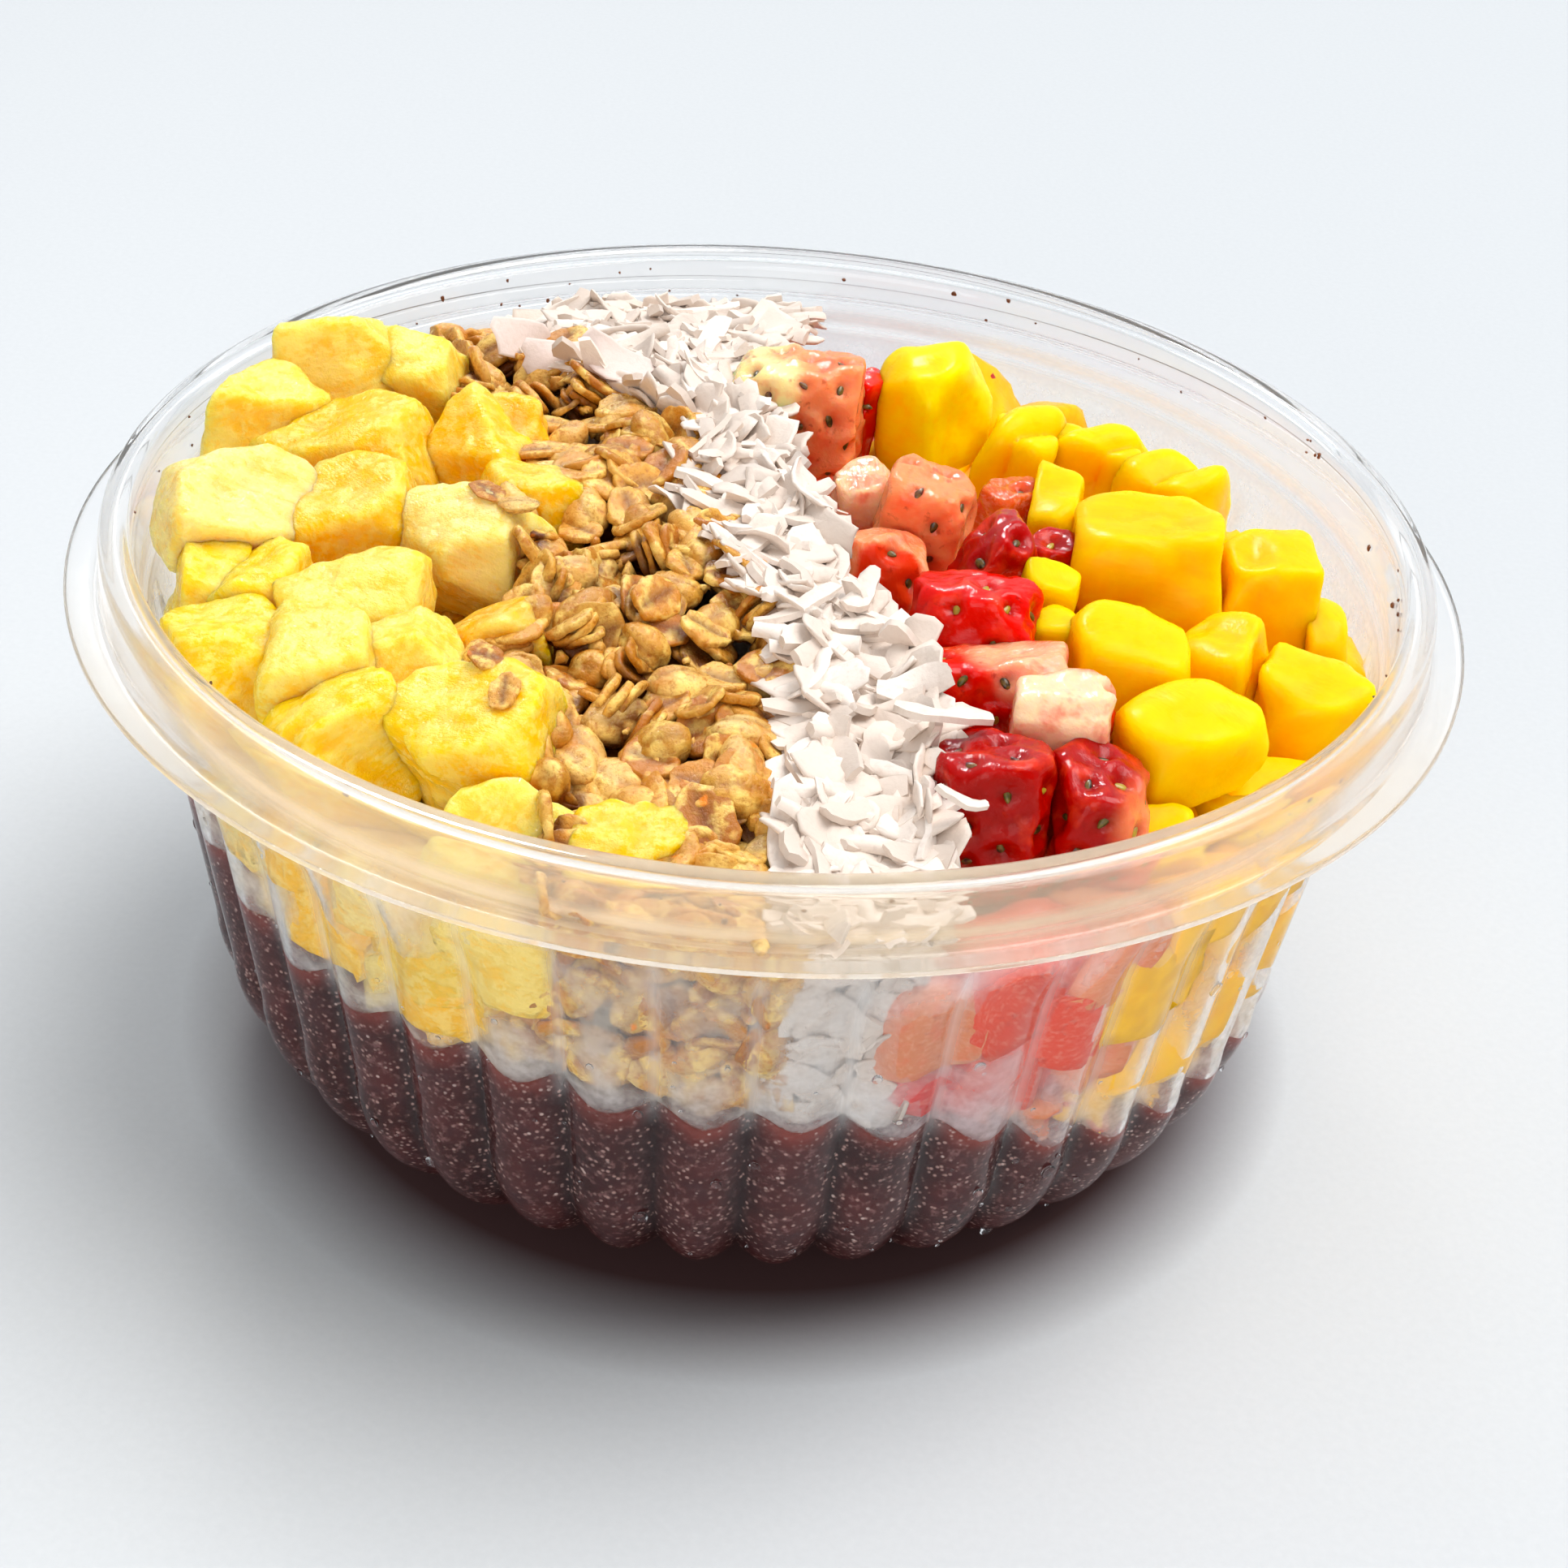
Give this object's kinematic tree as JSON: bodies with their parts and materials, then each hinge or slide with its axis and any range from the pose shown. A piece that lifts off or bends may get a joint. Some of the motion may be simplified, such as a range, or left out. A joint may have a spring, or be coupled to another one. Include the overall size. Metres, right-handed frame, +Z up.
{
  "type": "acai bowl",
  "caption": "Thick acai puree in a clear fluted plastic bowl, topped with bands of pineapple chunks, granola, shredded coconut, strawberry pieces and mango cubes.",
  "frame": {"origin": "middle of the bowl's flat foot, on the surface the bowl stands on", "axes": "+Z up, out of the bowl's mouth; +X towards the mango side; -Y towards the front, where the bands of toppings fan out"},
  "size_m": [0.1678, 0.168, 0.078],
  "materials": {
    "clear_plastic": "clear, glossy, slightly hazy",
    "acai": "thick frozen puree, slightly frosty",
    "pineapple": "wet, fibrous, slightly translucent",
    "mango": "wet and smooth",
    "strawberry": "wet and glossy, paler where cut",
    "granola": "toasted oats with a thin syrup glaze",
    "coconut": "dry shreds"
  },
  "bodies": {
    "root": {"bowl": "clear_plastic", "acai": "acai", "pineapple_01": "pineapple", "pineapple_02": "pineapple", "pineapple_03": "pineapple", "pineapple_04": "pineapple", "pineapple_05": "pineapple", "pineapple_06": "pineapple", "pineapple_07": "pineapple", "pineapple_08": "pineapple", "pineapple_09": "pineapple", "pineapple_10": "pineapple", "pineapple_11": "pineapple", "pineapple_12": "pineapple", "pineapple_13": "pineapple", "pineapple_14": "pineapple", "pineapple_15": "pineapple", "pineapple_16": "pineapple", "pineapple_17": "pineapple", "pineapple_18": "pineapple", "pineapple_19": "pineapple", "pineapple_20": "pineapple", "pineapple_21": "pineapple", "mango_01": "mango", "mango_02": "mango", "mango_03": "mango", "mango_04": "mango", "mango_05": "mango", "mango_06": "mango", "mango_07": "mango", "mango_08": "mango", "mango_09": "mango", "mango_10": "mango", "mango_11": "mango", "mango_12": "mango", "mango_13": "mango", "mango_14": "mango", "mango_15": "mango", "mango_16": "mango", "strawberry_01": "strawberry", "strawberry_02": "strawberry", "strawberry_03": "strawberry", "strawberry_04": "strawberry", "strawberry_05": "strawberry", "strawberry_06": "strawberry", "strawberry_07": "strawberry", "strawberry_08": "strawberry", "strawberry_09": "strawberry", "strawberry_10": "strawberry", "strawberry_11": "strawberry", "strawberry_12": "strawberry", "strawberry_13": "strawberry", "strawberry_14": "strawberry", "pineapple_bed": "pineapple", "strawberry_bed": "strawberry", "mango_bed": "mango", "granola": "granola", "coconut": "coconut"}
  },
  "joints": []
}
